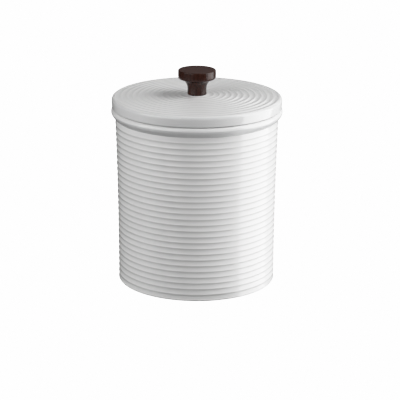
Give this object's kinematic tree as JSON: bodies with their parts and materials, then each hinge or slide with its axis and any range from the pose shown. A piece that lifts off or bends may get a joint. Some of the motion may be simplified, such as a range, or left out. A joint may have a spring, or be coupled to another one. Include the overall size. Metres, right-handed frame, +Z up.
{
  "type": "ceramic canister",
  "caption": "Round ribbed ceramic canister with a flared collar, a lift-off ringed lid with a silicone seal round its plug, and a turned wooden knob.",
  "frame": {"origin": "centre of the foot ring, on the table", "axes": "+Z up along the axis of the canister; the picture looks along +Y, with +X to the right"},
  "size_m": [0.137, 0.137, 0.1727],
  "materials": {
    "white_glaze": "satin",
    "silicone": "satin",
    "dark_wood": "satin",
    "brass": "satin",
    "steel": "satin",
    "black_rubber": "matte"
  },
  "bodies": {
    "jar": {"jar": "white_glaze"},
    "seal": {"seal_ring": "silicone"},
    "lid": {"lid": "white_glaze", "knob": "dark_wood", "threaded_insert": "brass", "knob_screw": "steel", "steel_washer": "steel", "cushion_washer": "black_rubber"}
  },
  "joints": [
    {"name": "lid_lift", "type": "slide", "parent": "jar", "child": "seal", "axis": [0, 0, 1], "range_m": [0, 0.16]},
    {"name": "lid_turn", "type": "hinge", "parent": "seal", "child": "lid", "pos_m": [0, 0, 0.1427], "axis": [0, 0, 1], "continuous": true}
  ]
}
